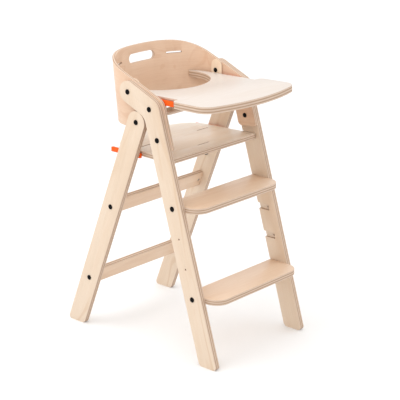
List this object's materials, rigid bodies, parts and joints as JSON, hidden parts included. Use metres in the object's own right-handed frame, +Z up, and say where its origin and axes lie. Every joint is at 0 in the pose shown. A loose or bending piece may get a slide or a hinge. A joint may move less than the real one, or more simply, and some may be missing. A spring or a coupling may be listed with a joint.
{
  "type": "folding baby high chair",
  "caption": "Folding plywood high chair for a baby, with A-frame legs, footrest steps, a seat board, a bent backrest and a tray that slides off to the front.",
  "frame": {"origin": "on the floor in the middle of the four feet", "axes": "+Z up; the chair faces -Y; +X is the sitter's left"},
  "size_m": [0.4446, 0.6489, 0.9151],
  "materials": {
    "birch_ply": "satin clear lacquer on birch plywood",
    "birch_pale": "satin clear lacquer on pale birch plywood",
    "beech_shell": "satin clear lacquer on bent beech-toned plywood",
    "tray_laminate": "smooth wipeable pale face on plywood",
    "orange_plastic": "semi-gloss moulded orange plastic",
    "black_steel": "black oxide fasteners",
    "zinc_steel": "zinc-plated barrel nuts",
    "black_plastic": "matte black plastic pegs"
  },
  "bodies": {
    "frame": {"backrest_shell": "beech_shell", "tray_frame": "birch_pale", "seat_board": "birch_pale", "upper_step": "birch_pale", "lower_step": "birch_pale", "front_leg_left": "birch_ply", "front_leg_right": "birch_ply", "arm_bolt_left": "black_steel", "arm_bolt_right": "black_steel", "arm_nut_left": "black_steel", "arm_nut_right": "black_steel", "elbow_bolt_left": "black_steel", "elbow_bolt_right": "black_steel", "elbow_nut_left": "black_steel", "elbow_nut_right": "black_steel", "lobe_bolt_left": "black_steel", "lobe_bolt_right": "black_steel", "lobe_nut_left": "black_steel", "lobe_nut_right": "black_steel", "pivot_bolt_left": "black_steel", "pivot_bolt_right": "black_steel", "pivot_nut_left": "black_steel", "pivot_nut_right": "black_steel", "upper_step_bolt_left": "black_steel", "upper_step_bolt_right": "black_steel", "upper_step_barrel_nut_left": "zinc_steel", "upper_step_barrel_nut_right": "zinc_steel", "lower_step_bolt_left": "black_steel", "lower_step_bolt_right": "black_steel", "lower_step_barrel_nut_left": "zinc_steel", "lower_step_barrel_nut_right": "zinc_steel", "seat_latch_screw_left": "black_steel", "seat_latch_screw_right": "black_steel"},
    "rear_frame": {"upper_rear_rail": "birch_pale", "lower_rear_rail": "birch_pale", "rear_leg_left": "birch_ply", "rear_leg_right": "birch_ply", "rear_leg_peg_left": "black_plastic", "rear_leg_peg_right": "black_plastic", "upper_rail_bolt_left": "black_steel", "upper_rail_bolt_right": "black_steel", "upper_rail_barrel_nut_left": "zinc_steel", "upper_rail_barrel_nut_right": "zinc_steel", "lower_rail_bolt_left": "black_steel", "lower_rail_bolt_right": "black_steel", "lower_rail_barrel_nut_left": "zinc_steel", "lower_rail_barrel_nut_right": "zinc_steel"},
    "tray": {"tray_board": "tray_laminate", "tray_latch_screw_left": "black_steel", "tray_latch_screw_right": "black_steel"},
    "seat_latch_left_body": {"seat_latch_left": "orange_plastic", "seat_latch_peg_left": "black_plastic"},
    "seat_latch_right_body": {"seat_latch_right": "orange_plastic", "seat_latch_peg_right": "black_plastic"},
    "tray_latch_left_body": {"tray_latch_left": "orange_plastic", "tray_latch_peg_left": "black_plastic"},
    "tray_latch_right_body": {"tray_latch_right": "orange_plastic", "tray_latch_peg_right": "black_plastic"}
  },
  "joints": [
    {"name": "rear_frame_fold", "type": "hinge", "parent": "frame", "child": "rear_frame", "pos_m": [0, -0.0027, 0.7316], "axis": [-1, 0, 0], "range_deg": [0, 38]},
    {"name": "tray_slide", "type": "slide", "parent": "frame", "child": "tray", "axis": [0, -0.9998, 0.0183], "range_m": [0, 0.15]},
    {"name": "seat_latch_left_press", "type": "hinge", "parent": "frame", "child": "seat_latch_left_body", "pos_m": [0.197, 0.008, 0.6201], "axis": [0, 0, 1], "range_deg": [0, 8], "stiffness_Nm_per_rad": 0.6, "springref_deg": -2.86},
    {"name": "seat_latch_right_press", "type": "hinge", "parent": "frame", "child": "seat_latch_right_body", "pos_m": [-0.197, 0.008, 0.6201], "axis": [0, 0, -1], "range_deg": [0, 8], "stiffness_Nm_per_rad": 0.6, "springref_deg": -2.86},
    {"name": "tray_latch_left_press", "type": "hinge", "parent": "tray", "child": "tray_latch_left_body", "pos_m": [0.184, -0.004, 0.8014], "axis": [0, 0, -1], "range_deg": [0, 8], "stiffness_Nm_per_rad": 0.6, "springref_deg": -2.86},
    {"name": "tray_latch_right_press", "type": "hinge", "parent": "tray", "child": "tray_latch_right_body", "pos_m": [-0.184, -0.004, 0.8014], "axis": [0, 0, 1], "range_deg": [0, 8], "stiffness_Nm_per_rad": 0.6, "springref_deg": -2.86}
  ]
}
